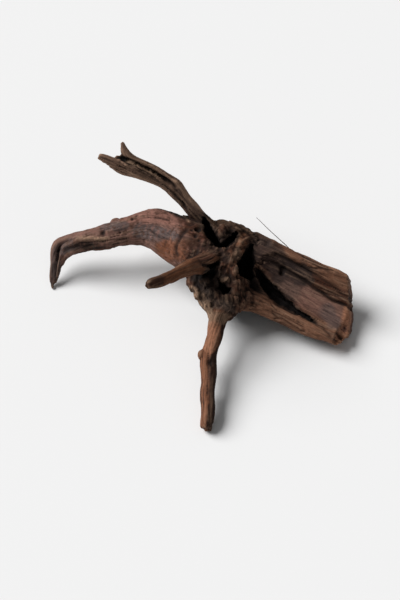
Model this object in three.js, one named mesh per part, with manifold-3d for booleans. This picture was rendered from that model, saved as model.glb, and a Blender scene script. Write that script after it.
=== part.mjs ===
// A piece of driftwood: a hollowed half of a trunk that ends in a knotted root burl, with a flat
// arm that hooks down to the ground, a forked arm that rises behind it, a short broken stub and
// one straight leg. It lies on the trunk's back, the tip of the leg and the tip of the hook.
// Millimetres, +Z up, +X along the longest side, the ground at Z = 0.

import * as THREE from "three";
import { mergeVertices } from "three/addons/utils/BufferGeometryUtils.js";
import Module from "manifold-3d";

const wasm = await Module();
wasm.setup();

// Driving dimensions
const TRUNK_RADIUS = 52; // outside of the half trunk
const RIM_LIFT = 16; // the rims stand this far above the trunk's axis
const LEG_RADIUS = 11;
const ROOTLET_RADIUS = 0.8;
const SEAT_GAP = 0.35; // clearance round the buried end of the rootlet
const FACE_TILT = THREE.MathUtils.degToRad(50); // the hollow looks up by this much, to the front
const FACE = new THREE.Vector3(0, -Math.cos(FACE_TILT), Math.sin(FACE_TILT));
const OPEN = 50; // how far a cutting shape reaches out of the wood
const TRUNK_END = 227; // where the trunk broke off, at its upper rim

// Ridges along the limbs: [angle, width, height, winding] in degrees and shares of the section
const LOG_RIDGES = [[200, 7, 0.05, 20], [228, 9, 0.06, -15], [262, 8, 0.05, 25], [305, 9, 0.06, -20]];
const BURL_RIDGES = [[20, 12, 0.1, 60], [150, 10, 0.08, -50], [230, 14, 0.1, 40], [310, 12, 0.1, 30]];
const BLADE_RIDGES = [[40, 12, 0.1, 30], [120, 10, 0.12, -25], [215, 14, 0.12, 40], [300, 12, 0.1, 0]];
const STUB_RIDGES = [[70, 14, 0.08, 60], [190, 14, 0.1, -40]];
const LEG_RIDGES = [[60, 16, 0.08, 90], [170, 16, 0.07, -60], [290, 14, 0.08, 70]];

// Knots of the burl that stand out of it: [place, radius]
const KNOTS = [
  [[19, -1, 74], 14],
  [[36, -11, 68], 15],
  [[54, -6, 64], 15],
  [[8, 17, 81], 13],
  [[66, 2, 58], 14],
  [[30, -18, 58], 12],
  [[50, 8, 74], 14],
];

// Small pits: [place, radius, how much deeper than wide]
const PITS = [
  [[42, 80, 110], 6, 1],
  [[7, 22, 94], 4.5, 2],
  [[19, 24, 96], 4.5, 2],
  [[127, 53, 63], 6, 1],
  [[17, -106, 44], 4.5, 1],
  [[-3, 97, 112], 6, 1],
];

// The hair of root, from its foot in the crack to its free tip
const HAIR_LINE = [
  [149, 85, 63],
  [144, 82, 74],
  [136, 86, 84],
  [122, 93, 95],
  [105, 104, 106],
  [95, 113, 111],
  [87, 122, 113],
];

// Slow swells of the whole: [heading, wave length, sway direction, height]
const SWELLS = [
  [[1, 0.4, 0.2], 67, [0.2, 0.5, 1], 1.3],
  [[-0.3, 1, 0.5], 53, [1, 0.1, 0.3], 1.2],
  [[0.5, -0.6, 1], 41, [0.4, 1, -0.2], 1],
  [[1, 1, -0.3], 29, [-0.3, 0.6, 1], 0.6],
];

// ---------------------------------------------------------------- solids and their joining

/** A closed geometry as a solid that can be joined and cut. */
function solid(geometry) {
  const bare = geometry.clone();
  bare.deleteAttribute("normal");
  bare.deleteAttribute("uv");
  const merged = mergeVertices(bare);
  return new wasm.Manifold(new wasm.Mesh({
    numProp: 3,
    vertProperties: new Float32Array(merged.attributes.position.array),
    triVerts: new Uint32Array(merged.index.array),
  }));
}

function geometryOf(body) {
  const mesh = body.getMesh();
  const geometry = new THREE.BufferGeometry();
  geometry.setAttribute("position", new THREE.BufferAttribute(mesh.vertProperties.slice(), 3));
  geometry.setIndex(new THREE.BufferAttribute(mesh.triVerts.slice(), 1));
  return geometry;
}

const join = (pieces) => pieces.reduce((whole, piece) => whole.add(piece));
const cut = (whole, tools) => tools.reduce((left, tool) => left.subtract(tool), whole);

/** Shortest turn from one angle to another, -PI to PI. */
const turn = (a, b) => Math.atan2(Math.sin(a - b), Math.cos(a - b));

/**
 * A limb: an oval section carried along a smooth line. A station is
 * [x, y, z, side, back, front]: a point of the line, then how far the section reaches across,
 * away from FACE and towards FACE. A ridge is [angle, width, height, winding] in degrees, with its
 * height as a share of the section: it runs along the limb and winds round it.
 */
function limb(stations, steps, sides, ridges = []) {
  const line = new THREE.CatmullRomCurve3(stations.map(([x, y, z]) => new THREE.Vector3(x, y, z)));
  const reach = new THREE.CatmullRomCurve3(
    stations.map(([, , , side, back, front]) => new THREE.Vector3(side, back, front)),
    false,
    "catmullrom",
    0.4,
  );
  const points = [];
  const faces = [];
  for (let i = 0; i <= steps; i += 1) {
    const t = i / steps;
    const centre = line.getPoint(t);
    const along = line.getTangent(t);
    const across = new THREE.Vector3().crossVectors(along, FACE).normalize();
    const out = new THREE.Vector3().crossVectors(across, along).normalize();
    const { x: side, y: back, z: front } = reach.getPoint(t);
    for (let j = 0; j < sides; j += 1) {
      const angle = (2 * Math.PI * j) / sides;
      let swell = 1;
      for (const [at, width, height, winding] of ridges) {
        const place = THREE.MathUtils.degToRad(at + winding * t);
        const away = turn(angle, place) / THREE.MathUtils.degToRad(width);
        swell += height * Math.exp(-away * away);
      }
      const high = Math.sin(angle) > 0 ? front : back;
      const point = centre.clone()
        .addScaledVector(across, swell * side * Math.cos(angle))
        .addScaledVector(out, swell * high * Math.sin(angle));
      points.push(point.x, point.y, point.z);
    }
  }
  for (let i = 0; i < steps; i += 1) {
    for (let j = 0; j < sides; j += 1) {
      const a = i * sides + j;
      const b = i * sides + ((j + 1) % sides);
      faces.push(a, a + sides, b, b, a + sides, b + sides);
    }
  }
  for (const [ring, t, flip] of [[0, 0, false], [steps, 1, true]]) {
    const middle = points.length / 3;
    points.push(...line.getPoint(t).toArray());
    for (let j = 0; j < sides; j += 1) {
      const a = ring * sides + j;
      const b = ring * sides + ((j + 1) % sides);
      faces.push(...(flip ? [a, middle, b] : [a, b, middle]));
    }
  }
  const geometry = new THREE.BufferGeometry();
  geometry.setAttribute("position", new THREE.Float32BufferAttribute(points, 3));
  geometry.setIndex(faces);
  return solid(geometry);
}

/** A rounded lump, or the tool for a round pit: a ball stretched along FACE by `stretch`. */
function ball([x, y, z], radius, stretch = 1) {
  const geometry = new THREE.SphereGeometry(radius, 10, 7);
  geometry.scale(1, 1, stretch);
  geometry.applyQuaternion(
    new THREE.Quaternion().setFromUnitVectors(new THREE.Vector3(0, 0, 1), FACE),
  );
  geometry.translate(x, y, z);
  return solid(geometry);
}

/** The tool that takes away all that lies past a point, on the side where `outward` looks. */
function breakOff(point, outward) {
  const reach = 1200;
  const geometry = new THREE.BoxGeometry(reach, reach, reach);
  geometry.translate(0, 0, reach / 2);
  geometry.applyQuaternion(new THREE.Quaternion().setFromUnitVectors(
    new THREE.Vector3(0, 0, 1),
    new THREE.Vector3(...outward).normalize(),
  ));
  geometry.translate(...point);
  return solid(geometry);
}

// ---------------------------------------------------------------- the wood

/** The half log with its two raised rims and the flank that fills in below the lower one. */
function trunk() {
  const log = limb([
    [0, 104, 72, 14, 14, 10],
    [18, 97, 70, 38, 36, 16],
    [50, 82, 62, TRUNK_RADIUS - 1, 46, RIM_LIFT + 2],
    [96, 60, 56, TRUNK_RADIUS, 49, RIM_LIFT + 1],
    [138, 38, 51, TRUNK_RADIUS, 50, RIM_LIFT],
    [180, 14, 48, TRUNK_RADIUS - 1, 50, RIM_LIFT],
    [215, -6, 46, TRUNK_RADIUS - 1, 50, RIM_LIFT],
    [250, -26, 44, TRUNK_RADIUS - 2, 50, RIM_LIFT],
  ], 12, 34, LOG_RIDGES);
  const upperRim = limb([
    [62, 110, 84, 14, 12, 10],
    [87, 100, 81, 13, 12, 9],
    [114, 86, 78, 11, 12, 8],
    [145, 70, 72, 11, 12, 8],
    [184, 51, 66, 11, 12, 7],
    [240, 23, 57, 11, 12, 7],
  ], 12, 12);
  const lowerRim = limb([
    [51, 1, 56, 15, 18, 16],
    [73, 2, 53, 14, 18, 12],
    [97, -3, 45, 12.5, 16, 9],
    [133, -19, 37, 11.5, 15, 8],
    [169, -35, 31, 10.5, 15, 7],
    [198, -47, 29, 10, 15, 7],
    [233, -64, 25, 10, 15, 7],
  ], 14, 12);
  const flank = limb([
    [56, 18, 48, 20, 20, 16],
    [75, 13, 43, 17, 17, 14],
    [93, 10, 38, 14, 15, 12],
    [114, 2, 33, 12, 13, 10],
    [142, -11, 27, 8, 10, 7],
  ], 9, 12);
  return join([log, upperRim, lowerRim, flank, ball([220, -35, 33], 7)]);
}

/** The knotted root burl between the trunk and the limbs. */
function burl() {
  const mass = limb([
    [63, 129, 82, 14, 12, 12],
    [53, 109, 76, 36, 34, 22],
    [40, 78, 72, 48, 44, 34],
    [35, 45, 64, 46, 46, 38],
    [38, 17, 57, 37, 42, 32],
    [42, -5, 52, 24, 28, 22],
    [45, -17, 48, 8, 8, 8],
  ], 12, 24, BURL_RIDGES);
  const shoulder = limb([
    [-28, 123, 88, 20, 14, 20],
    [-19, 99, 86, 36, 24, 28],
    [-5, 77, 85, 33, 26, 26],
    [12, 59, 89, 21, 20, 20],
    [24, 49, 91, 12, 12, 12],
  ], 9, 18);
  const skirt = limb([
    [-5, 53, 86, 12, 12, 10],
    [-10, 34, 76, 12, 14, 14],
    [-3, 16, 67, 12, 14, 14],
    [9, 0, 60, 13, 14, 15],
    [23, -17, 52, 13, 14, 14],
    [27, -32, 46, 12, 11, 11],
  ], 10, 14);
  const saddle = limb([
    [6, 124, 96, 9, 12, 8],
    [19, 116, 95, 14, 18, 12],
    [37, 112, 94, 17, 22, 14],
    [59, 107, 90, 18, 24, 15],
    [81, 96, 81, 15, 22, 12],
    [96, 88, 74, 10, 14, 9],
  ], 12, 16);
  const nub = limb([
    [37, 104, 108, 7.5, 8, 6],
    [32, 93, 107, 7, 8, 6],
    [28, 87, 99, 4.5, 6, 5],
  ], 5, 10);
  const backSwell = limb([
    [117, 98, 38, 14, 12, 10],
    [71, 106, 40, 32, 22, 20],
    [24, 115, 47, 38, 24, 20],
    [-16, 121, 56, 31, 20, 16],
    [-55, 132, 66, 20, 12, 12],
  ], 11, 16, BURL_RIDGES);
  const underSwell = limb([
    [112, 70, 28, 18, 20, 14],
    [66, 84, 27, 30, 30, 20],
    [26, 90, 32, 31, 29, 20],
    [-8, 94, 48, 20, 18, 14],
  ], 10, 16);
  const knots = KNOTS.map(([at, radius]) => ball(at, radius));
  return join([mass, shoulder, skirt, saddle, nub, backSwell, underSwell, ...knots]);
}

/** The broad flat arm to the left and the hook at its end, two strands side by side. */
function hookedArm() {
  const blade = limb([
    [52, 78, 66, 20, 18, 14],
    [16, 90, 74, 41, 32, 28],
    [-19, 101, 80, 43, 30, 26],
    [-45, 114, 80, 37, 26, 22],
    [-66, 128, 80, 33, 22, 19],
    [-90, 135, 76, 28, 18, 17],
    [-123, 130, 70, 21, 14, 15],
    [-152, 126, 65, 20, 12, 14],
    [-177, 122, 60, 18, 11, 12],
    [-196, 118, 54, 14, 10, 10],
    [-213, 115, 44, 11, 8, 8],
    [-223, 107, 32, 7, 6, 6],
    [-227, 93, 18, 5, 5, 5],
    [-231, 79, 6, 2, 2, 2],
  ], 25, 16, BLADE_RIDGES);
  const strand = limb([
    [-165, 135, 64, 8, 7, 9],
    [-187, 133, 59, 7.5, 7, 9],
    [-211, 132, 54, 7, 7, 9],
    [-226, 128, 48, 7, 7, 8],
    [-234, 116, 36, 6.5, 7, 7],
    [-234, 103, 24, 5.5, 6, 6],
    [-235, 92, 13, 4.5, 5, 5],
    [-236, 81, 4, 3, 4, 4],
    [-236, 72, 1, 2, 2, 2],
  ], 18, 12);
  return join([blade, strand, ball([-133, 144, 74], 10)]);
}

/** The arm that rises to the back: two strands that part into a fork, a web and a fin between. */
function forkedArm() {
  const topStrand = limb([
    [22, 116, 98, 10, 16, 14],
    [6, 123, 110, 8, 13, 12],
    [-8, 133, 122, 7, 10, 10],
    [-21, 146, 134, 7, 10, 10],
    [-32, 157, 144, 8.5, 9, 10],
    [-45, 165, 153, 7.5, 8, 9],
    [-66, 172, 164, 7.5, 7, 9],
    [-90, 176, 175, 6.5, 6, 8],
    [-108, 180, 185, 6.5, 5, 7],
    [-117, 186, 193, 5.5, 4, 5],
    [-120, 194, 202, 3, 2.2, 2.4],
  ], 20, 12);
  const lowStrand = limb([
    [12, 114, 98, 12, 15, 14],
    [-5, 125, 110, 10, 12, 12],
    [-17, 133, 122, 8, 10, 10],
    [-30, 142, 133, 7.5, 9, 9],
    [-46, 153, 144, 7.5, 8, 8],
    [-72, 160, 156, 8, 7, 7],
    [-96, 164, 167, 9, 7, 7],
    [-115, 167, 174, 10, 6, 6],
    [-131, 169, 183, 9.5, 5, 5],
    [-144, 171, 188, 7, 4.5, 5],
    [-156, 173, 192, 4, 3, 3.5],
  ], 20, 12);
  const web = limb([
    [-28, 150, 135, 4.5, 5, 4],
    [-54, 164, 150, 5.5, 5, 4],
    [-81, 171, 164, 5.5, 5, 4],
    [-106, 177, 176, 6, 4, 4],
    [-124, 180, 185, 4.5, 3, 3],
    [-131, 180, 187, 2.5, 2, 2],
  ], 10, 8);
  const fin = limb([
    [-21, 136, 130, 3, 4, 8],
    [-44, 149, 145, 3, 4, 11],
    [-67, 157, 158, 2.8, 3, 11],
    [-88, 162, 170, 2.6, 3, 10],
    [-109, 168, 180, 2.4, 3, 8],
    [-124, 174, 188, 1.5, 2, 4],
  ], 12, 8);
  return join([topStrand, lowStrand, web, fin]);
}

/** The short broken stub. It widens like a cone where it grows out of the burl. */
function stub() {
  return limb([
    [34, 66, 88, 14, 14, 10],
    [20, 50, 96, 18, 18, 13],
    [4, 33, 105, 15.5, 16, 13],
    [-15, 11, 120, 12, 12, 12],
    [-35, -10, 132, 9.5, 9.5, 9.5],
    [-52, -29, 140, 8.5, 9, 9],
    [-67, -43, 147, 7.5, 8, 8],
    [-74, -49, 149, 5, 6, 6],
  ], 20, 14, STUB_RIDGES);
}

/** The root that bridges the burl, from the saddle down to the edge of the throat. */
function bridge() {
  return limb([
    [84, 103, 88, 7, 8, 6],
    [70, 92, 92, 8, 12, 7],
    [57, 76, 92, 8, 16, 8],
    [46, 62, 91, 9, 18, 8],
    [38, 49, 89, 9, 18, 8],
    [31, 38, 84, 7, 12, 6],
  ], 14, 12, STUB_RIDGES);
}

function leg() {
  const shaft = limb([
    [43, 19, 56, 27, 22, 24],
    [36, -5, 52, 19.5, 17, 19],
    [28, -29, 48, LEG_RADIUS + 3, 13, 13],
    [22, -52, 43, LEG_RADIUS + 1, 12, 12],
    [16, -75, 39, LEG_RADIUS + 1, 12, 12],
    [13, -101, 32, LEG_RADIUS, 11, 11],
    [12, -133, 26, LEG_RADIUS, 11, 11],
    [11, -163, 19, LEG_RADIUS - 0.5, 11, 11],
    [10, -186, 14, LEG_RADIUS - 0.5, 11, 10],
    [9, -197, 9, 8.5, 9, 8],
  ], 20, 14, LEG_RIDGES);
  return join([shaft, ball([5, -84, 37], 7.5), ball([13, -195, 7], 6)]);
}

// ---------------------------------------------------------------- the hollows

/** Everything that weather and rot took away, as tools that reach out past the surface. */
function hollows() {
  const trough = limb([
    [84, 44, 112, 36, 38, OPEN],
    [102, 34, 107, 46, 50, OPEN],
    [131, 18, 103, 53, 56, OPEN],
    [165, 0, 97, 55, 57, OPEN],
    [210, -22, 90, 55, 57, OPEN],
    [261, -48, 82, 55, 57, OPEN],
  ], 11, 40);
  const groove = limb([
    [87, 55, 71, 4, 12, OPEN],
    [98, 38, 61, 8, 28, OPEN],
    [113, 20, 52, 10, 32, OPEN],
    [135, 3, 43, 6.5, 20, OPEN],
    [157, -12, 38, 3.5, 11, OPEN],
    [180, -27, 34, 1.5, 4, OPEN],
  ], 14, 10);
  const throat = limb([
    [80, 88, 88, 4, 18, OPEN],
    [74, 72, 82, 8, 32, OPEN],
    [69, 58, 74, 14, 44, OPEN],
    [65, 46, 68, 19, 44, OPEN],
    [60, 36, 64, 9, 26, OPEN],
  ], 10, 16);
  const slot = limb([
    [6, 125, 105, 3.5, 16, OPEN],
    [12, 111, 98, 6.5, 24, OPEN],
    [20, 97, 91, 9, 28, OPEN],
    [32, 86, 85, 8, 26, OPEN],
    [45, 94, 87, 5.5, 18, OPEN],
    [56, 107, 92, 3, 10, OPEN],
  ], 12, 10);
  const burlHole = limb([
    [28, 15, 91, 4, 16, OPEN],
    [31, 7, 84, 7.5, 26, OPEN],
    [39, 2, 80, 6.5, 24, OPEN],
    [48, 0, 78, 4, 14, OPEN],
  ], 7, 10);
  const underStub = limb([
    [2, 35, 97, 2.5, 10, 16],
    [12, 34, 96, 4.5, 14, 16],
    [23, 38, 97, 4, 12, 16],
    [29, 43, 98, 2, 8, 16],
  ], 6, 8);
  const brokenLip = limb([
    [243, 13, 45, 7, 4, OPEN],
    [237, -5, 39, 13, 9, OPEN],
    [223, -36, 34, 15, 11, OPEN],
    [208, -62, 29, 12, 9, OPEN],
    [200, -78, 26, 7, 4, OPEN],
  ], 10, 16);
  const pits = PITS.map(([at, radius, stretch]) => ball(at, radius, stretch));
  return [trough, groove, throat, slot, burlHole, underStub, brokenLip, ...pits];
}

// ---------------------------------------------------------------- the weathered whole

/** Slow swells and dips, so that no limb is an even tube: crossing waves that move each point. */
function weathered(geometry) {
  const place = geometry.attributes.position;
  const point = new THREE.Vector3();
  for (let i = 0; i < place.count; i += 1) {
    point.fromBufferAttribute(place, i);
    const moved = point.clone();
    for (const [heading, length, sway, height] of SWELLS) {
      const phase = (2 * Math.PI * point.dot(new THREE.Vector3(...heading).normalize())) / length;
      moved.addScaledVector(new THREE.Vector3(...sway).normalize(), height * Math.sin(phase));
    }
    place.setXYZ(i, moved.x, moved.y, moved.z);
  }
  return geometry;
}

/** A hair of root caught in a crack of the upper rim. */
function hair(radius) {
  return limb(HAIR_LINE.map((point) => [...point, radius, radius, radius]), 24, 8);
}

/** The crack that holds the hair: the same line a little wider, with room below its foot. */
function crack() {
  return join([hair(ROOTLET_RADIUS + SEAT_GAP), ball(HAIR_LINE[0], ROOTLET_RADIUS + 3 * SEAT_GAP)]);
}

const grown = join([trunk(), burl(), hookedArm(), forkedArm(), stub(), bridge(), leg()]);
const aged = solid(weathered(geometryOf(grown)));
const carved = cut(aged, hollows());
const driftwoodSolid = cut(carved, [
  crack(),
  breakOff([TRUNK_END, 34, 65], [1, -0.2, 0.25]),
  breakOff([217, -47, 22], [0.56, -0.63, -0.53]),
  breakOff([0, 0, 0], [0, 0, -1]),
]);

const barkless = new THREE.MeshStandardMaterial({ color: 0x5b4338, roughness: 0.85, metalness: 0 });
const fibre = new THREE.MeshStandardMaterial({ color: 0x2e231e, roughness: 0.8, metalness: 0 });

const driftwood = new THREE.Mesh(geometryOf(driftwoodSolid), barkless);
driftwood.name = "driftwood";
const rootlet = new THREE.Mesh(geometryOf(hair(ROOTLET_RADIUS)), fibre);
rootlet.name = "rootlet";

// The origin is the middle of the wood's box, on the ground
const group = new THREE.Group();
group.add(driftwood, rootlet);
const reach = new THREE.Box3().setFromObject(group);
const middle = reach.getCenter(new THREE.Vector3());
group.position.set(-middle.x, -middle.y, -reach.min.z);
export default group;
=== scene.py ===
import itertools
import math

import bmesh
import bpy
import numpy as np
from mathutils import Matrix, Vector


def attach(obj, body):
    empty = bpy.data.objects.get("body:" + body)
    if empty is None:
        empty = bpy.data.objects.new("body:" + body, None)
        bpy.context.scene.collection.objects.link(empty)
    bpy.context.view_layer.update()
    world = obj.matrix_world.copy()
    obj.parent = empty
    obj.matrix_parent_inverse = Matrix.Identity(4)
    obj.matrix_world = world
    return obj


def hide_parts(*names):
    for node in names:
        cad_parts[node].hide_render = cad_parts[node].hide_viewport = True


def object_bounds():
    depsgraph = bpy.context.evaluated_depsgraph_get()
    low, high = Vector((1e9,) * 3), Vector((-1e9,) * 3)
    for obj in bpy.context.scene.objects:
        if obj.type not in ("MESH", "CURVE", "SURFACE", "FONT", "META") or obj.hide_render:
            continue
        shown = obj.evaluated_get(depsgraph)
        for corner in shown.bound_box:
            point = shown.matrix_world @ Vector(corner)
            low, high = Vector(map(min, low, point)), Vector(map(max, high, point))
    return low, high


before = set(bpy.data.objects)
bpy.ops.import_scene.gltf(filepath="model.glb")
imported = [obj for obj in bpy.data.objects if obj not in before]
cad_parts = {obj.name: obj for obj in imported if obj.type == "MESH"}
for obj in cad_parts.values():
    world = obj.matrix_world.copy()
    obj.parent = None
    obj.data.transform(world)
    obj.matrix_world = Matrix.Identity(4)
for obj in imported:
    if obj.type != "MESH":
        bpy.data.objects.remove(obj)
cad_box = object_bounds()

MM = 0.001

# ---------------------------------------------------------------- sizes

SKIN_CELL = 1.74 * MM  # spacing of the points of the wood's skin
FACET_SMOOTHING = 6  # rounds that take the facets off the solid
RELAX_PULL = 0.6  # how far a round of smoothing draws a point to its neighbours
RELAX_PUSH = -0.62  # and how far it then pushes it back
SAME_PLACE = 0.01 * MM  # points of the solid this close are one point
GROUND_CLEARANCE = 0.05 * MM
FACE_TILT = math.radians(50)
FACE = np.array([0.0, -math.cos(FACE_TILT), math.sin(FACE_TILT)])  # the side the hollow looks to
FACE_SLACK = 0.6  # how much of a gap along FACE is left out when a mark looks for the skin
LIMB_SHARPNESS = 8  # how suddenly one limb's grain gives way to the next one's
GRAIN_DEEP = 1.8  # how much deeper than wide the cells of the grain's noise are
FAR = 9.0  # a distance in metres beyond every point

# Heights and depths of the hollow's steps, in millimetres
RIB_RISE = 2.2
CREASE_DEPTH = 3.6
WALL_DEPTH = 1.5
FLOOR_RISE = 1.0
LIP_RISE = 1.2
GROOVE_DEPTH = 3.0
EDGE_RISE = 1.6

# How far the burl's points stand out and are shifted, in millimetres
LUMP_RISE = 3.0
GNARL_RISE = 1.5
CRUMB_RISE = 0.25
COARSE_SHIFT = 3.6
FINE_SHIFT = 0.9

ROOTLET_RADIUS = 0.8 * MM
ROOTLET_TAPER = 0.55  # share of the radius that is lost from the foot to the tip
ROOTLET_SIDES = 10

SKY_DIRECTIONS = 48
SKY_SPREAD = 1.1  # 1 would be the half dome above, 2 the whole ball
SKY_CELL = 2.2 * SKIN_CELL

FIBRE_STRETCH = 0.06  # share of the way along the grain that counts, so that fibres are drawn out
FIBRE_SHIFT = 0.5  # how far apart in the pattern two limbs' fibres are taken from
FIBRE_SCALE = 700
PORE_SCALE = 900
PORE_SHARE = 0.4  # how deep the pores are beside the fibres
DARK_FIBRE = 0.5
PALE_FIBRE = 1.45
DULL_WOOD = 0.9  # roughness in the valleys between fibres
WORN_WOOD = 0.68  # and on top of them
WOOD_GLOSS = 0.16
WOOD_BUMP = 0.6 * MM

FLOOR_EDGE = 40.0
FLOOR_COLOUR = (0.8, 0.8, 0.8)
LAMP_STRENGTH = 4.2
LAMP_SOFTNESS = math.radians(40)
LAMP_HEADING = (0.7, -0.22, -0.68)
ROOM_STRENGTH = 0.2
WHITE = (1, 1, 1, 1)
LENS = 65  # millimetres, on a sensor 36 wide
SENSOR = 36
AIM = (1.2 * MM, 2.7 * MM, 60 * MM)
EYE_DISTANCE = 1.634

# The lines that the grain follows: [x, y, z, radius] in millimetres, from the burl outwards
GUIDES = {
    "trunk": [
        [1, 107, 72, 20], [19, 100, 70, 36], [51, 85, 62, 50], [97, 63, 56, 50],
        [139, 41, 51, 50], [181, 17, 48, 50], [216, -3, 46, 50], [251, -23, 44, 50],
    ],
    "burl": [
        [64, 132, 82, 15], [54, 112, 76, 32], [41, 81, 72, 44], [36, 48, 64, 44],
        [39, 20, 57, 38], [43, -2, 52, 28], [46, -14, 48, 12],
    ],
    "saddle": [[7, 127, 96, 11], [38, 115, 94, 18], [60, 110, 90, 20], [97, 91, 74, 12]],
    "blade": [
        [17, 93, 74, 34], [-18, 104, 80, 32], [-44, 117, 80, 28], [-65, 131, 80, 24],
        [-89, 138, 76, 20], [-122, 133, 70, 17], [-151, 129, 65, 15], [-176, 125, 60, 13],
        [-195, 121, 54, 11], [-212, 118, 44, 9], [-222, 110, 32, 6], [-226, 96, 18, 5],
        [-230, 82, 6, 3],
    ],
    "strand": [
        [-164, 138, 64, 6], [-186, 136, 59, 7], [-210, 135, 54, 7], [-225, 131, 48, 7],
        [-233, 119, 36, 7], [-233, 106, 24, 6], [-234, 95, 13, 5], [-235, 75, 1, 3],
    ],
    "fork_top": [
        [23, 119, 98, 13], [-7, 136, 122, 9], [-20, 149, 134, 9], [-31, 160, 144, 9],
        [-65, 175, 164, 8], [-89, 179, 175, 7], [-107, 183, 185, 6], [-119, 197, 202, 2],
    ],
    "fork_low": [
        [13, 117, 98, 13], [-16, 136, 122, 9], [-45, 156, 144, 8], [-95, 167, 167, 8],
        [-130, 172, 183, 7], [-155, 176, 192, 3],
    ],
    "stub": [
        [35, 69, 88, 14], [21, 53, 96, 17], [5, 36, 105, 15], [-14, 14, 120, 12],
        [-34, -7, 132, 10], [-51, -26, 140, 9], [-73, -46, 149, 7],
    ],
    "bridge": [
        [85, 106, 88, 7], [71, 95, 92, 8], [58, 79, 92, 9], [47, 65, 91, 10],
        [39, 52, 89, 10], [32, 41, 84, 8],
    ],
    "leg": [
        [44, 22, 56, 24], [37, -2, 52, 18], [29, -26, 48, 14], [17, -72, 39, 12],
        [13, -130, 26, 11], [12, -160, 19, 11], [10, -194, 9, 9],
    ],
}

# The hair of root, from its foot in the crack to its free tip, in millimetres
HAIR_LINE = [
    [150.2, 87.4, 63], [145.2, 84.4, 74], [137.2, 88.4, 84], [123.2, 95.4, 95],
    [106.2, 106.4, 106], [96.2, 115.4, 111], [88.2, 124.4, 113],
]

# Furrows and cracks: [points in millimetres], half width and depth in millimetres
FURROWS = [
    # between the strands of the forked arm
    ([[-124, 181, 186], [-101, 174, 182], [-80, 170, 172], [-60, 165, 162], [-42, 157, 155],
      [-34, 150, 147]], 2.4, 5.0),
    ([[-106, 164, 184], [-85, 158, 176], [-65, 152, 166], [-48, 147, 155], [-33, 138, 143],
      [-25, 134, 135], [-17, 125, 122]], 2.4, 5.0),
    ([[-123, 168, 182], [-110, 165, 176]], 1.6, 2.0),
    # along the hooked arm
    ([[-199, 117, 63], [-156, 114, 70], [-104, 117, 75]], 1.7, 2.0),
    ([[-217, 114, 50], [-196, 112, 59], [-164, 112, 64]], 4.5, 2.6),
    ([[-137, 112, 64], [-124, 114, 67]], 1.6, 2.2),
    ([[-72, 136, 102], [-58, 130, 105], [-44, 123, 107]], 1.6, 2.0),
    ([[-80, 122, 92], [-64, 105, 92], [-42, 89, 100]], 1.5, 1.4),
    ([[-14, 106, 113], [-29, 87, 109], [-37, 74, 94], [-32, 64, 82]], 4.0, 3.0),
    ([[-220, 126, 47], [-227, 105, 32], [-230, 84, 12]], 1.9, 3.6),
    # the scar under the upper rim of the trunk
    ([[103, 95, 84], [121, 75, 81], [135, 70, 78], [165, 55, 69], [200, 35, 58], [224, 18, 49]],
     2.4, 2.2),
    ([[122, -17, 43], [152, -34, 33]], 1.6, 2.0),
    ([[186, -34, 38], [191, -40, 37], [199, -50, 34]], 2.2, 1.6),
    # under the foot of the stub, round the saddle and down the leg
    ([[4, 19, 123], [15, 27, 110], [25, 33, 98]], 3.0, 4.5),
    ([[60, 116, 104], [80, 100, 96], [92, 84, 88]], 2.0, 2.4),
    ([[14, -60, 47], [13, -116, 39], [11, -160, 31]], 1.7, 1.8),
]

# Ridges that stand up: [points], half width and height, and how pale their tops are painted, partly
# wear and partly painted highlight
RIDGES = [
    ([[-112, 176, 182], [-103, 174, 180], [-80, 168, 170], [-65, 164, 163], [-56, 160, 158]],
     1.3, 3.0, 0.9),
    ([[-120, 190, 196], [-107, 184, 186], [-80, 178, 176], [-50, 169, 158]], 2.4, 1.6, 0.25),
    ([[-110, 160, 176], [-80, 153, 164], [-50, 144, 146]], 2.6, 1.6, 0.2),
    ([[-26, 132, 108], [-22, 128, 110], [-13, 111, 113]], 2.2, 2.0, 0.1),
    ([[-191, 122, 69], [-165, 118, 72], [-143, 116, 74]], 2.6, 1.4, 0.4),
    ([[28, 28, 79], [36, 22, 84], [43, 18, 88]], 2.4, 3.0, 0.6),
    ([[66, 95, 98], [58, 66, 100], [45, 44, 98]], 5.0, 1.5, 0.15),
]

# Knots and bumps: [place], radius and height
KNOBS = [
    ([-36, 158, 155], 6.0, 3.0),
    ([114, 92, 91], 5.0, 2.5),
    ([1, -82, 42], 6.0, 2.0),
    ([-124, 150, 84], 7.0, 2.0),
    ([43, 18, 90], 4.0, 3.0),
]

# Pits, knot eyes and worm holes: [place], radius and depth
PITS = [
    ([-151, 124, 79], 4.0, 4.5),
    ([-105, 140, 93], 2.4, 2.6),
    ([-98, 144, 97], 2.2, 2.2),
    ([-124, 122, 81], 2.2, 2.2),
    ([-6, 86, 112], 3.2, 4.0),
    ([-11, 97, 114], 2.6, 3.0),
    ([0, 79, 111], 2.6, 3.0),
    ([104, 95, 83], 4.5, 4.0),
    ([16, 28, 93], 5.0, 5.0),
    ([61, -9, 71], 3.0, 4.0),
    ([70, 4, 68], 3.0, 4.0),
    ([80, -1, 57], 3.0, 4.0),
    ([17, -100, 41], 4.0, 3.5),
    ([221, -31, 32], 5.0, 2.5),
    ([129, 62, 64], 4.5, 4.0),
    ([127, 56, 60], 3.5, 3.0),
]

# How the hollow of the trunk is stepped: [way along the trunk, then how far across it the upper
# crease, the near edge of the groove and the inner edge of the lower rim lie], in millimetres
STEPS = [[100, -19, 4, 20], [164, -16, 17, 31], [222, -8, 34, 42], [284, -4, 39, 45]]
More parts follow.
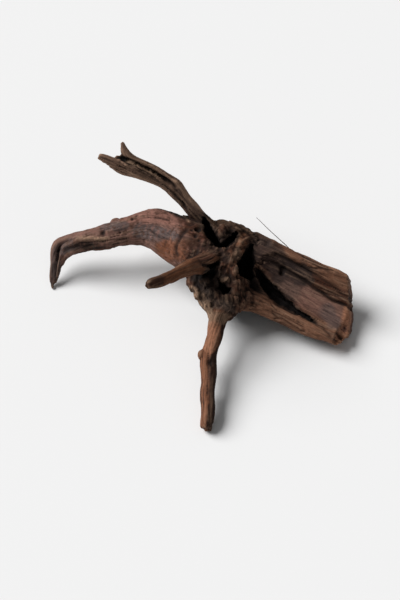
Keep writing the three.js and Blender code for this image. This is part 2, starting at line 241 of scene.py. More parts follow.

# Stains, some of them painted shade beside deep hollows: colour, strength, half width and the places
# they run through, in millimetres
STAINS = [
    ("rose", 0.75, 15, [[-109, 144, 94], [-64, 138, 106], [-22, 128, 110]]),
    ("slate", 0.95, 11, [[-93, 124, 86], [-42, 94, 104]]),
    ("slate", 0.85, 7, [[-150, 133, 83], [-116, 131, 88]]),
    ("rust", 0.8, 14, [[-53, 87, 79], [-17, 66, 103]]),
    ("char", 0.95, 6, [[-219, 115, 48], [-196, 112, 59], [-165, 112, 62]]),
    ("char", 0.9, 7, [[-228, 100, 26], [-230, 86, 14], [-233, 78, 5]]),
    ("bone", 0.5, 4, [[-191, 122, 69], [-143, 116, 74]]),
    ("bark", 1.0, 19, [[-10, 106, 112], [2, 88, 112], [9, 62, 107], [0, 60, 108]]),
    ("slate", 0.7, 9, [[-205, 118, 58], [-225, 112, 44], [-232, 95, 22]]),
    ("soot_and_shade", 0.75, 10, [[-30, 146, 143], [-20, 129, 129], [-2, 118, 119]]),
    ("olive", 0.9, 20, [[20, 112, 112], [45, 108, 110], [78, 107, 99]]),
    ("soot_and_shade", 0.6, 9, [[90, 103, 96], [104, 95, 90]]),
    ("bark", 0.7, 9, [[38, 98, 115], [38, 90, 104]]),
    ("rust", 0.65, 9, [[73, 94, 97], [59, 64, 100], [46, 44, 98]]),
    ("bark", 0.9, 13, [[39, 42, 102], [30, 36, 98]]),
    ("soot_and_shade", 0.75, 22, [[24, 10, 90], [44, 0, 80]]),
    ("ash", 0.6, 8, [[8, 6, 86], [22, -14, 76], [46, -18, 66]]),
    ("soot_and_shade", 1.0, 9, [[25, 22, 93], [12, 28, 93]]),
    ("bone", 0.85, 9, [[-12, 12, 70], [-5, 3, 69], [12, -18, 60]]),
    ("umber", 0.8, 12, [[55, 2, 83], [73, 1, 71], [79, -6, 58]]),
    ("ash", 0.4, 12, [[144, 28, 47], [126, 42, 54]]),
    ("slate", 0.6, 12, [[196, -2, 37], [204, -20, 35]]),
    ("rose", 0.2, 12, [[158, 14, 43], [176, 6, 41]]),
    ("bark", 0.6, 9, [[179, 40, 56], [207, 21, 47]]),
    ("tan", 0.7, 10, [[96, 26, 47], [90, 4, 50], [82, -8, 54]]),
    ("bone", 0.6, 10, [[16, -31, 56], [34, -30, 58]]),
    ("sand", 0.75, 9, [[22, -44, 52], [18, -75, 44]]),
    ("bark", 0.9, 8, [[-58, -34, 145], [-70, -46, 150]]),
    ("soot_and_shade", 0.5, 9, [[-58, -34, 145], [-72, -46, 150]]),
    ("char", 0.95, 15, [[135, 62, 66], [160, 50, 60]]),
    ("char", 0.85, 20, [[90, 86, 88], [112, 73, 77], [126, 60, 62]]),
    ("sand", 0.9, 10, [[226, 2, 28], [222, -24, 26], [212, -46, 30]]),
    # painted shade: widens the dark of the deep V slot beside the burl
    ("soot_and_shade", 0.85, 9, [[6, 128, 107], [12, 113, 104], [20, 99, 103], [30, 90, 103], [42, 96, 106]]),
    ("soot_and_shade", 0.7, 9, [[14, 72, 106], [30, 62, 104], [40, 50, 102]]),
    ("soot_and_shade", 0.8, 10, [[56, 70, 90], [70, 46, 76], [84, 40, 62]]),
    ("rose", 0.9, 5, [[221, -31, 32]]),
    ("soot_and_shade", 0.4, 9, [[-187, 115, 65], [-168, 113, 67], [-148, 112, 68]]),
    ("soot_and_shade", 0.35, 13, [[-17, 74, 107], [-8, 64, 105]]),
]

# How high the grain stands on each limb, in millimetres: swells, ribs, fine lines and cracks
GRAIN_HEIGHTS = {
    "trunk": (0.9, 1.1, 0.7, 2.4),
    "burl": (1.0, 1.8, 0.9, 1.5),
    "saddle": (1.0, 1.8, 0.9, 1.5),
    "bridge": (1.0, 1.8, 0.9, 1.5),
    "blade": (1.0, 0.6, 0.35, 1.3),
    "strand": (1.0, 0.6, 0.35, 1.3),
    "fork_top": (1.3, 1.6, 0.5, 2.0),
    "fork_low": (1.3, 1.6, 0.5, 2.0),
    "stub": (1.0, 0.9, 0.5, 1.3),
    "leg": (1.0, 0.9, 0.45, 1.5),
}
FLOOR_CALM = 0.65  # how much of the grain the raised floor of the hollow lacks

# Limbs that end torn: limb, how long the fibres are there and how much they differ
TORN = [
    ("trunk", 12, 4.5), ("leg", 9, 3.0), ("stub", 8, 2.5), ("fork_top", 9, 2.0), ("fork_low", 9, 2.5),
]

# ---------------------------------------------------------------- noise

SLOPE_COUNT = 256
NOISE_GAIN = 1.6  # brings the noise to about -1 to 1
ODD_X, ODD_Y, ODD_Z, ODD_SEED, ODD_MIX = 73856093, 19349663, 83492791, 2654435761, 1274126177
slope_table = np.random.default_rng(7).normal(size=(SLOPE_COUNT, 3))
slope_table /= np.linalg.norm(slope_table, axis=1, keepdims=True)


def slopes(corners, seed):
    """A random direction for each whole-numbered corner: its three numbers and the seed are each
    multiplied by a large odd number and mixed bit by bit, and the result picks one of the table."""
    x, y, z = corners.astype(np.int64).T
    mixed = (x * ODD_X) ^ (y * ODD_Y) ^ (z * ODD_Z) ^ (seed * ODD_SEED)
    mixed = (mixed ^ (mixed >> 13)) * ODD_MIX
    return slope_table[(mixed ^ (mixed >> 16)) % SLOPE_COUNT]


def noise(points, seed):
    """Smooth noise from about -1 to 1 with cells of size 1: each corner of a point's cell has a
    random slope, and the eight slopes are blended by the easing 6t^5 - 15t^4 + 10t^3."""
    base = np.floor(points)
    part = points - base
    ease = part**3 * (part * (part * 6 - 15) + 10)
    total = np.zeros(len(points))
    for corner in itertools.product((0, 1), repeat=3):
        slope = slopes(base + corner, seed)
        share = np.prod(np.where(np.array(corner) == 1, ease, 1 - ease), axis=1)
        total += share * np.einsum("ij,ij->i", slope, part - corner)
    return total * NOISE_GAIN


def layered(points, seed, layers=3):
    """Noise added to itself at half the size and half the height, `layers` times."""
    return sum(noise(points * 2**k, seed + k) * 0.5**k for k in range(layers))


def step(low, high, value):
    """0 below low, 1 above high, and the easing 3t^2 - 2t^3 between them."""
    t = np.clip((value - low) / (high - low), 0, 1)
    return t * t * (3 - 2 * t)


# ---------------------------------------------------------------- guide lines

def smooth_line(stations, per_span=10):
    """Catmull-Rom: between two stations each coordinate is the cubic that passes through both
    and is there parallel to the line that joins each one's neighbours."""
    p = np.array(stations, float)
    p = np.vstack([2 * p[0] - p[1], p, 2 * p[-1] - p[-2]])
    t = np.linspace(0, 1, per_span, endpoint=False)[:, None]
    spans = [
        0.5 * (2 * b + (c - a) * t + (2 * a - 5 * b + 4 * c - d) * t**2
               + (3 * b - a - 3 * c + d) * t**3)
        for a, b, c, d in zip(p[:-3], p[1:-2], p[2:-1], p[3:])
    ]
    return np.vstack([*spans, p[-2:-1]])


def unit(v):
    """Each vector divided by its own length."""
    return v / np.linalg.norm(v, axis=-1, keepdims=True)


def across_face(gaps):
    """How long each gap is when most of its part along FACE is left out, so that a mark still
    reaches the skin where its place was given a little too deep or too high."""
    along = (gaps @ FACE)[..., None] * FACE
    return np.linalg.norm(gaps - FACE_SLACK * along, axis=-1)


class Limb:
    """A guide line and, for a set of points, where each lies on it: `along` is the way from its
    start, `side` and `out` the distances across it, `share` the way as a part of its length, and
    `reach` how many radii of the limb the point is from the line."""

    def __init__(self, stations, points):
        samples = smooth_line(stations)
        centre = samples[:, :3] * MM
        radius = samples[:, 3] * MM
        heading = unit(np.gradient(centre, axis=0))
        across = unit(np.cross(heading, FACE))
        outward = np.cross(across, heading)
        gaps = np.linalg.norm(np.diff(centre, axis=0), axis=1)
        way = np.concatenate([[0], np.cumsum(gaps)])

        nearest = np.argmin(
            (points**2).sum(1)[:, None] - 2 * points @ centre.T + (centre**2).sum(1), axis=1
        )
        from_centre = points - centre[nearest]
        ahead = np.einsum("ij,ij->i", from_centre, heading[nearest])
        other = np.clip(nearest + np.where(ahead > 0, 1, -1), 0, len(centre) - 1)
        gap = np.abs(way[other] - way[nearest])
        part = np.clip(np.abs(ahead) / np.maximum(gap, 1e-6), 0, 1)

        def between(values):
            shape = (-1,) + (1,) * (values.ndim - 1)
            share = part.reshape(shape)
            return values[nearest] * (1 - share) + values[other] * share

        self.way = way[-1]
        self.along = way[nearest] + ahead
        self.share = np.clip(self.along / self.way, 0, 1)
        self.heading = unit(between(heading))
        middle = between(centre)
        self.side = np.einsum("ij,ij->i", points - middle, between(across))
        self.out = np.einsum("ij,ij->i", points - middle, between(outward))
        off = np.hypot(self.side, self.out)
        past = np.maximum(0, np.maximum(-self.along, self.along - self.way))
        self.reach = np.hypot(off, past) / between(radius)


class Skin:
    """The points of the wood's surface with what each needs to know: its limbs' places and
    shares, its outward direction and its neighbours."""

    def __init__(self, mesh):
        self.mesh = mesh
        self.count = len(mesh.vertices)
        self.points = read(mesh.vertices, "co", 3)
        self.edges = read(mesh.edges, "vertices", 2, np.int32)
        ends = np.bincount(self.edges.ravel(), minlength=self.count)
        self.ends = np.maximum(ends, 1)[:, None]
        self.normals = None
        self.limbs = {}
        self.weights = {}
        self.evening = None
        nowhere = np.zeros(self.count)
        self.wall = self.floor = self.crease = self.groove = nowhere
        self.torn = self.sunk = self.pale = nowhere

    def neighbour_mean(self, values):
        """The mean of each point's neighbours along the edges."""
        a, b = self.edges.T
        columns = values.reshape(self.count, -1)
        summed = np.stack([
            np.bincount(a, column[b], self.count) + np.bincount(b, column[a], self.count)
            for column in columns.T
        ], axis=1)
        return (summed / self.ends).reshape(values.shape)

    def knotted(self):
        """The share of the burl and of what grows straight out of it."""
        part = self.weights
        return part["burl"] + 0.5 * part["saddle"] + 0.45 * part["bridge"]

    def blurred(self, values, rounds, pull=0.5):
        """Values drawn to their neighbours' mean by `pull`, round after round."""
        for _ in range(rounds):
            values = values + pull * (self.neighbour_mean(values) - values)
        return values

    def relax(self, rounds):
        """Smoothing in two steps: a pull to the neighbours' mean, then a slightly stronger push
        back, so that bumps go and thin limbs keep their girth."""
        for _ in range(rounds):
            self.points = self.blurred(self.points, 1, RELAX_PULL)
            self.points = self.blurred(self.points, 1, RELAX_PUSH)

    def measure(self):
        """Works out the outward directions from the mesh as it now stands."""
        write(self.mesh.vertices, "co", self.points)
        self.mesh.update()
        self.normals = read(self.mesh.vertex_normals, "vector", 3)

    def follow(self, guides):
        """Each limb's share of a point falls with the eighth power of the distance from the
        guide line, in radii, so that limbs blend only where they meet."""
        self.limbs = {name: Limb(line, self.points) for name, line in guides.items()}
        pulls = {
            name: 1 / (limb.reach**LIMB_SHARPNESS + 1e-4) for name, limb in self.limbs.items()
        }
        whole = sum(pulls.values())
        self.weights = {name: pull / whole for name, pull in pulls.items()}
        self.evening = np.sqrt(sum(w**2 for w in self.weights.values()))

    def grain(self, length, width, seed, sway=0.0, layers=2):
        """Noise drawn out along the grain: in each limb's own directions its cells are `length`
        long, `width` wide and somewhat deeper than wide, and `sway` makes them wander sideways.
        Limbs blend by their shares, and the sum is divided so that it is as strong where they
        meet."""
        total = np.zeros(self.count)
        for number, (name, limb) in enumerate(self.limbs.items()):
            near = self.weights[name] > 0.01
            drift = np.stack([limb.along, limb.side, limb.out], axis=1)[near]
            if sway:
                slow = drift / [length * 0.8, width * 4, width * 4]
                drift[:, 1] += sway * noise(slow, seed + 50)
                drift[:, 2] += sway * noise(slow, seed + 60)
            cells = drift / [length, width, width * GRAIN_DEEP]
            total[near] += self.weights[name][near] * layered(cells, seed + 100 * number, layers)
        return total / self.evening

    def nearness(self, line, width):
        """A bell over the distance to a smooth line, 1 on it, that dies away towards its ends."""
        path = smooth_line(line, per_span=16) * MM
        reach = 3 * width + 6 * MM
        box = ((self.points > path.min(0) - reach) & (self.points < path.max(0) + reach)).all(1)
        gaps = across_face(self.points[box][:, None] - path[None])
        nearest = gaps.argmin(1)
        share = nearest / (len(path) - 1)
        taper = np.clip(np.minimum(share, 1 - share) * 8, 0.25, 1)
        bell = np.zeros(self.count)
        bell[box] = np.exp(-(gaps.min(1) / width)**2) * taper
        return bell

    def near(self, place, radius):
        """A bell over the distance to one place."""
        gap = across_face(self.points - np.array(place) * MM)
        return np.exp(-(gap / radius)**2)

    def spot(self, line, width, ragged):
        """1 within `width` of a line or a place and 0 well outside it, with an edge that the
        noise `ragged` pushes in and out."""
        path = (smooth_line(line, per_span=8) if len(line) > 1 else np.array(line)) * MM
        gaps = np.full(self.count, FAR)
        box = ((self.points > path.min(0) - 3 * width) & (self.points < path.max(0) + 3 * width))
        box = box.all(1)
        gaps[box] = across_face(self.points[box][:, None] - path[None]).min(1)
        return step(1.35, 0.75, gaps / width + 0.45 * ragged)

    def push(self, height):
        """Moves each point along its outward direction."""
        self.points = self.points + self.normals * np.asarray(height)[:, None]


def read(items, name, width, kind=np.float32):
    """One property of every item as rows of `width` numbers."""
    values = np.empty(len(items) * width, kind)
    items.foreach_get(name, values)
    return values.reshape(-1, width).astype(float if kind is np.float32 else kind)


def write(items, name, values):
    """Puts whole arrays back into one property of every item."""
    items.foreach_set(name, np.ascontiguousarray(values, np.float32).ravel())


# ---------------------------------------------------------------- the wood's skin

def bare_skin():
    """The solid's surface with its doubles merged, covered anew with even cells."""
    mesh = bpy.data.meshes.new("driftwood_base")
    shell = bmesh.new()
    shell.from_mesh(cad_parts["driftwood"].data)
    bmesh.ops.remove_doubles(shell, verts=shell.verts, dist=SAME_PLACE)
    shell.to_mesh(mesh)
    shell.free()
    base = bpy.data.objects.new("driftwood_base", mesh)
    bpy.context.scene.collection.objects.link(base)
    cover = base.modifiers.new("cover", "REMESH")
    cover.mode = "VOXEL"
    cover.voxel_size = SKIN_CELL
    covered = bpy.data.meshes.new_from_object(
        base.evaluated_get(bpy.context.evaluated_depsgraph_get())
    )
    bpy.data.objects.remove(base)
    bpy.data.meshes.remove(mesh)
    covered.name = "driftwood_skin"
    return covered


def along_the_grain(skin):
    """The height of the grain in millimetres: broad swells, ribs with sharp valleys, fine lines,
    and cracks where a slow noise crosses zero, each as strong as GRAIN_HEIGHTS says and weaker on
    the floor of the hollow."""
    swells = skin.grain(90 * MM, 11 * MM, 11, sway=3 * MM)
    ribs = skin.grain(110 * MM, 5.5 * MM, 12, sway=2 * MM, layers=1)
    valleys = 0.45 - np.minimum(1, np.abs(ribs) / 0.5)
    lines = skin.grain(55 * MM, 2.8 * MM, 13, sway=0.6 * MM, layers=1)
    split = skin.grain(170 * MM, 8 * MM, 14, sway=1.5 * MM, layers=1)
    where = layered(skin.points / (30 * MM), 15, 2)
    cracks = step(0.1, 0.0, np.abs(split)) * step(-0.15, 0.25, where)

    heights = sum(
        skin.weights[name][:, None] * np.array(limb) for name, limb in GRAIN_HEIGHTS.items()
    )
    swell, rib, line, crack = heights.T
    lost = FLOOR_CALM * skin.floor
    trunk_swell, _, _, trunk_crack = GRAIN_HEIGHTS["trunk"]
    swell = swell - lost * trunk_swell * skin.weights["trunk"]
    crack = crack - lost * trunk_crack * skin.weights["trunk"]
    return swells * swell - valleys * rib * (1 - lost) + lines * line - cracks * crack


def gnarled(skin):
    """The burl's lumps and rough hollows, in millimetres: rounded noise and creased noise."""
    lumps = layered(skin.points / (19 * MM), 21, 2)
    creased = 1 - np.abs(layered(skin.points / (15 * MM), 24, 2)) * 2
    crumbs = noise(skin.points / (4 * MM), 27)
    height = LUMP_RISE * lumps + GNARL_RISE * (creased - 0.4) + CRUMB_RISE * crumbs
    return skin.knotted() * height


def stepped(skin):
    """The steps in the hollow of the trunk, in millimetres: a crease with a rib above it, a
    smooth raised floor, a groove and the inner edge of the lower rim, each followed along the
    trunk by straight-line interpolation."""
    trunk = skin.limbs["trunk"]
    way, crease, groove, rim = np.array(STEPS).T
    along = trunk.along / MM
    wander = 2.2 * layered(np.stack([along / 26, along * 0, along * 0], axis=1), 28, 2)
    across = trunk.side / MM + wander
    crease, groove, rim = (np.interp(along, way, line) for line in (crease, groove, rim))
    inside = skin.weights["trunk"] * step(95, 125, along) * step(0, -8, trunk.out / MM - 12)
    inside *= step(0, 0.35, skin.normals @ FACE)

    skin.wall = inside * step(crease - 18, crease - 13, across) * step(crease + 1, crease - 2, across)
    skin.floor = inside * step(crease - 1, crease + 3, across) * step(groove + 2, groove - 3, across)
    skin.crease = inside * np.exp(-((across - crease) / 2.4) ** 2)
    skin.groove = inside * step(groove - 2, groove + 2, across) * step(rim + 2, rim - 2, across)
    rib = inside * np.exp(-((across - crease + 6) / 3.2) ** 2)
    lip = inside * np.exp(-((across - groove + 3) / 3.0) ** 2)
    edge = inside * np.exp(-((across - rim - 3) / 3.0) ** 2)
    return (RIB_RISE * rib - CREASE_DEPTH * skin.crease - WALL_DEPTH * skin.wall
            + FLOOR_RISE * skin.floor + LIP_RISE * lip - GROOVE_DEPTH * skin.groove
            + EDGE_RISE * edge)


def marks(skin):
    """The single furrows, ridges, knobs and pits, in millimetres, with how deep in a furrow or pit a
    point is, which is painted as shade, and how pale the ridge is that it lies on, partly wear and
    partly painted highlight."""
    height = np.zeros(skin.count)
    for line, width, depth in FURROWS:
        height -= depth * skin.nearness(line, width * MM)
    for place, radius, depth in PITS:
        height -= depth * skin.near(place, radius * MM)
    sunk = np.clip(-height / 3, 0, 1)
    pale = np.zeros(skin.count)
    for line, width, rise, wear_and_painted_light in RIDGES:
        ridge = skin.nearness(line, width * MM)
        height += rise * ridge
        pale = np.maximum(pale, wear_and_painted_light * ridge)
    for place, radius, rise in KNOBS:
        height += rise * skin.near(place, radius * MM)
    return height, sunk, pale


def torn(skin):
    """Near the end of a broken limb each fibre is drawn back along the limb by its own length,
    which is noise over the two ways across, so that the end is ragged."""
    skin.torn = np.zeros(skin.count)
    for number, (name, length, uneven) in enumerate(TORN):
        limb = skin.limbs[name]
        near = step(limb.way - length * MM, limb.way, limb.along) * skin.weights[name]
        across = np.stack([limb.side, limb.out, limb.out * 0], axis=1)
        back = (0.25 + 0.7 * layered(across / (4.2 * MM), 70 + number, 2)) * uneven * MM
        skin.points = skin.points - limb.heading * (near * back)[:, None]
        skin.torn = np.maximum(skin.torn, near * step(0.5, 0.8, np.abs(np.einsum(
            "ij,ij->i", skin.normals, limb.heading))))


def crumbled(skin):
    """Shifts the points of the burl and round every hollow by three noises, one a direction, so
    that no edge of a hollow stays clean."""
    near_hollow = 1 - step(0.4, 0.8, skin.blurred(openness(skin), 20))
    share = np.maximum(skin.knotted(), 0.8 * near_hollow)
    coarse = np.stack([layered(skin.points / (13 * MM), seed, 2) for seed in (41, 43, 45)], axis=1)
    fine = np.stack([noise(skin.points / (7 * MM), seed) for seed in (47, 48, 49)], axis=1)
    shift = COARSE_SHIFT * coarse + FINE_SHIFT * fine
    skin.points = skin.points + shift * share[:, None] * MM


def sculpt(skin):
    """Takes the facets off, then moves the points by the crumbling and tearing, and out and in
    by the grain, the gnarls, the steps and the marks."""
    skin.relax(FACET_SMOOTHING)
    skin.measure()
    skin.follow(GUIDES)
    crumbled(skin)
    torn(skin)
    skin.measure()
    skin.follow(GUIDES)
    steps = stepped(skin)
    marked, skin.sunk, skin.pale = marks(skin)
    skin.push((steps + along_the_grain(skin) + gnarled(skin) + marked) * MM)
    skin.points = skin.blurred(skin.points, 1, 0.2)
    skin.measure()
    skin.follow(GUIDES)


def keep_inside(skin):
    """No point goes past the solid's own box, and none below the ground."""
    low, high = (np.array(corner) for corner in cad_box)
    low[2] = max(low[2], 0) + GROUND_CLEARANCE
    skin.points = np.clip(skin.points, low, high)
    skin.measure()


# ---------------------------------------------------------------- colours

def linear(r, g, b):
    """A colour given as 0 to 255 for a screen, as amounts of light."""
    c = np.array([r, g, b]) / 255
    return np.where(c <= 0.04045, c / 12.92, ((c + 0.055) / 1.055) ** 2.4)


# dark heartwood brown, also the colour of all painted shade in hollows, creases, furrows, pits and
# the groove
HEARTWOOD_AND_SHADE = linear(23, 12, 8)
STAIN_COLOURS = {
    "rose": linear(130, 90, 78),
    "slate": linear(84, 72, 70),
    "rust": linear(112, 66, 41),
    "bark": linear(66, 36, 22),
    "char": linear(46, 35, 32),
    "soot_and_shade": linear(27, 17, 13),
    "olive": linear(60, 42, 28),
    "ash": linear(84, 72, 65),
    "tan": linear(114, 79, 60),
    "sand": linear(150, 103, 78),
    "bone": linear(150, 122, 100),
    "umber": linear(74, 46, 33),
    "clay": linear(110, 81, 71),
}


def dyed(colour, target, share):
    """colour moved towards target by each point's share."""
    return colour + (target - colour) * np.clip(share, 0, 1)[:, None]


def openness(skin):
    """How much of the sky each point sees: for each of an even fan of directions the points are
    sorted into a flat grid of cells seen from there, and a point counts as seen if it lies within
    a cell's depth of the nearest one in its cell."""
    index = np.arange(SKY_DIRECTIONS) + 0.5
    tilt = np.arccos(1 - SKY_SPREAD * index / SKY_DIRECTIONS)
    turn = np.pi * (1 + 5**0.5) * index
    sky = np.stack([
        np.cos(turn) * np.sin(tilt), np.sin(turn) * np.sin(tilt), np.cos(tilt)
    ], axis=1)
    cell = SKY_CELL
    seen = np.zeros(skin.count)
    whole = np.zeros(skin.count)
    for way in sky:
        facing = np.maximum(0, skin.normals @ way)
        right = unit(np.cross(way, [0.31, 0.87, 0.13]))
        up = np.cross(way, right)
        raised = skin.points + skin.normals * cell
        column = np.floor(raised @ right / cell).astype(int)
        row = np.floor(raised @ up / cell).astype(int)
        column -= column.min()
        row -= row.min()
        box = column * (row.max() + 1) + row
        depth = raised @ way
        top = np.full(box.max() + 1, -np.inf)
        np.maximum.at(top, box, depth)
        seen += facing * (depth > top[box] - 2.5 * cell)
        whole += facing
    return skin.blurred(seen / np.maximum(whole, 1e-3), 3)


def ground_colour(skin, ragged):
    """Each limb's own colour before the stains: the arm clay, the leg tan on one side and darkened on
    the other, away from the lamp, as painted shade, and the trunk's wall, floor and rims, with
    painted shade in the crease and groove of its hollow."""
    tone = STAIN_COLOURS
    part = skin.weights
    leg, trunk = skin.limbs["leg"], skin.limbs["trunk"]
    colour = np.tile(tone["umber"], (skin.count, 1))
    colour = dyed(colour, tone["clay"], part["blade"] + part["strand"])
    fork = part["fork_top"] + part["fork_low"]
    colour = dyed(colour, (tone["clay"] + tone["bone"]) / 2, 0.85 * fork)
    colour = dyed(colour, (tone["tan"] + tone["rust"]) / 2, part["leg"])
    # painted shade: the leg's right side, away from the lamp, darkened
    right = step(3, -4, leg.side / MM + 2.5 * ragged)
    colour = dyed(colour, (tone["bark"] + 2 * tone["soot_and_shade"]) / 3, part["leg"] * right)
    colour = dyed(colour, (tone["olive"] + tone["rust"]) / 2, part["stub"])
    colour = dyed(colour, tone["bark"], 0.95 * skin.knotted())

    rims = part["trunk"] * step(26, 32, np.abs(trunk.side / MM + 2 * ragged))
    colour = dyed(colour, tone["tan"], rims * 0.85)
    colour = dyed(colour, tone["bark"], skin.wall * 0.85)
    colour = dyed(colour, tone["clay"], 0.8 * skin.floor * step(120, 150, trunk.along / MM))
    # painted shade: the crease and the groove of the trunk's hollow darkened
    colour = dyed(colour, tone["soot_and_shade"], skin.crease * 0.8)
    return dyed(colour, HEARTWOOD_AND_SHADE, skin.groove * 0.8)


def colour_of(skin):
    """The colour of each point: the ground colour, the single stains with ragged edges, streaks along
    the grain, painted shade in the hollows, creases, furrows and pits, and edges and ridge tops
    painted paler, partly wear and partly painted highlight."""
    open_sky = openness(skin)
    smooth = skin.blurred(skin.points, 6)
    # how far each point stands above its smoothed neighbours, in millimetres: positive on edges,
    # negative in creases
    wear_and_painted_light = np.einsum("ij,ij->i", skin.points - smooth, skin.normals) / MM

    ragged = layered(skin.points / (17 * MM), 31, 3)
    drawn = skin.grain(60 * MM, 9 * MM, 35, sway=4 * MM)
    streaks = skin.grain(130 * MM, 5 * MM, 32, sway=2 * MM)
    threads = skin.grain(90 * MM, 2.2 * MM, 33, sway=0.8 * MM)
    mottle = layered(skin.points / (7 * MM), 36, 3)
    hollow_shade_spread = skin.blurred(open_sky, 24)
    specks = noise(skin.points / (3.2 * MM), 34)

    colour = ground_colour(skin, ragged)
    for name, strength, width, line in STAINS:
        share = skin.spot(line, width * MM, 0.6 * ragged + 0.6 * drawn)
        colour = dyed(colour, STAIN_COLOURS[name], strength * share)
    arm = skin.weights["blade"]
    colour = dyed(colour, STAIN_COLOURS["umber"], 0.7 * arm * step(0.15, 0.55, mottle))
    colour = dyed(colour, STAIN_COLOURS["rose"], 0.5 * arm * step(0.15, 0.6, -mottle))
    colour = dyed(colour, STAIN_COLOURS["soot_and_shade"], 0.8 * skin.knotted() * step(-0.1, 0.45, mottle))
    calm = 1 - 0.5 * skin.floor - 0.55 * arm * step(0.45, 0.2, skin.limbs["blade"].share)
    colour = dyed(colour, HEARTWOOD_AND_SHADE, calm * (0.55 * step(0.1, 0.7, streaks)
                                         + 0.4 * step(0.1, 0.7, threads)))
    colour = dyed(colour, STAIN_COLOURS["bone"], calm * (0.25 * step(0.3, 0.9, -streaks)
                                                         + 0.2 * step(0.2, 0.8, -threads)))
    # painted shade: darker where the surface lies below its neighbours, in creases and dimples
    colour = dyed(colour, HEARTWOOD_AND_SHADE, step(0.05, 0.7, -wear_and_painted_light) * 0.75)
    # edges that stand out painted paler: partly wear, partly painted highlight
    edges = step(0.2, 0.9, wear_and_painted_light) * (0.35 - 0.2 * skin.knotted())
    colour = dyed(colour, STAIN_COLOURS["bone"], edges)
    # painted shade: darker the deeper a point lies in a furrow or pit
    colour = dyed(colour, HEARTWOOD_AND_SHADE, skin.sunk * 0.85)
    colour = dyed(colour, STAIN_COLOURS["bark"], skin.torn * 0.2)
    # painted shade: the wood darkened round every hollow, where the blurred sky openness is low
    colour = dyed(colour, HEARTWOOD_AND_SHADE, 0.85 * (1 - step(0.45, 0.78, hollow_shade_spread)))
    # painted shade: near black where a point sees little sky, deep in hollows, slots and the throat
    colour = dyed(colour, HEARTWOOD_AND_SHADE * 0.35, 1 - step(0.15, 0.55, open_sky))
    # ridge tops painted pale: partly wear, partly painted highlight
    colour = dyed(colour, STAIN_COLOURS["bone"] * 1.3, skin.pale)
    colour *= (1 + 0.16 * specks)[:, None]
    return np.clip(colour, 0.001, 1)


def attribute(mesh, name, kind, values):
    """Stores one value for each point under a name that a material can read."""
    layer = mesh.attributes.new(name, kind, "POINT")
    field = {"FLOAT": "value", "FLOAT_VECTOR": "vector", "FLOAT_COLOR": "color"}[kind]
    write(layer.data, field, values)


# ---------------------------------------------------------------- materials

def nodes_of(material):
    """The material's node tree, emptied."""
    material.use_nodes = True
    tree = material.node_tree
    tree.nodes.clear()
    return tree


def weathered_wood():
    """Dry barkless wood: the painted colour of each point, stains with painted shade and highlight in
    it, with fine fibres along the grain that darken it and stand up as bump, and pores in any
    direction."""
    material = bpy.data.materials.new("weathered_wood")
    tree = nodes_of(material)
    new, link = tree.nodes.new, tree.links.new

    stain_and_shade = new("ShaderNodeAttribute")
    stain_and_shade.attribute_name = "stain_and_shade"
    fibre = new("ShaderNodeAttribute")
    fibre.attribute_name = "fibre"
    place = new("ShaderNodeTexCoord")

    fibres = new("ShaderNodeTexNoise")
    fibres.inputs["Scale"].default_value = FIBRE_SCALE
    fibres.inputs["Detail"].default_value = 5
    fibres.inputs["Roughness"].default_value = 0.65
    link(fibre.outputs["Vector"], fibres.inputs["Vector"])

    pores = new("ShaderNodeTexNoise")
    pores.inputs["Scale"].default_value = PORE_SCALE
    pores.inputs["Detail"].default_value = 3
    link(place.outputs["Object"], pores.inputs["Vector"])

    shade = new("ShaderNodeMapRange")
    shade.inputs["From Min"].default_value = 0.3
    shade.inputs["From Max"].default_value = 0.7
    shade.inputs["To Min"].default_value = DARK_FIBRE
    shade.inputs["To Max"].default_value = PALE_FIBRE
    link(fibres.outputs["Fac"], shade.inputs["Value"])

    tinted = new("ShaderNodeVectorMath")
    tinted.operation = "SCALE"
    link(stain_and_shade.outputs["Color"], tinted.inputs[0])
    link(shade.outputs["Result"], tinted.inputs["Scale"])

    dull = new("ShaderNodeMapRange")
    dull.inputs["To Min"].default_value = DULL_WOOD
    dull.inputs["To Max"].default_value = WORN_WOOD
    link(fibres.outputs["Fac"], dull.inputs["Value"])

    relief = new("ShaderNodeMath")
    relief.operation = "MULTIPLY_ADD"
    relief.inputs[1].default_value = PORE_SHARE
    link(pores.outputs["Fac"], relief.inputs[0])
    link(fibres.outputs["Fac"], relief.inputs[2])
    bump = new("ShaderNodeBump")
    bump.inputs["Strength"].default_value = 0.7
    bump.inputs["Distance"].default_value = WOOD_BUMP
    link(relief.outputs["Value"], bump.inputs["Height"])

    wood = new("ShaderNodeBsdfPrincipled")
    wood.inputs["Specular IOR Level"].default_value = WOOD_GLOSS
    link(tinted.outputs["Vector"], wood.inputs["Base Color"])
    link(dull.outputs["Result"], wood.inputs["Roughness"])
    link(bump.outputs["Normal"], wood.inputs["Normal"])
    end = new("ShaderNodeOutputMaterial")
    link(wood.outputs["BSDF"], end.inputs["Surface"])
    return material


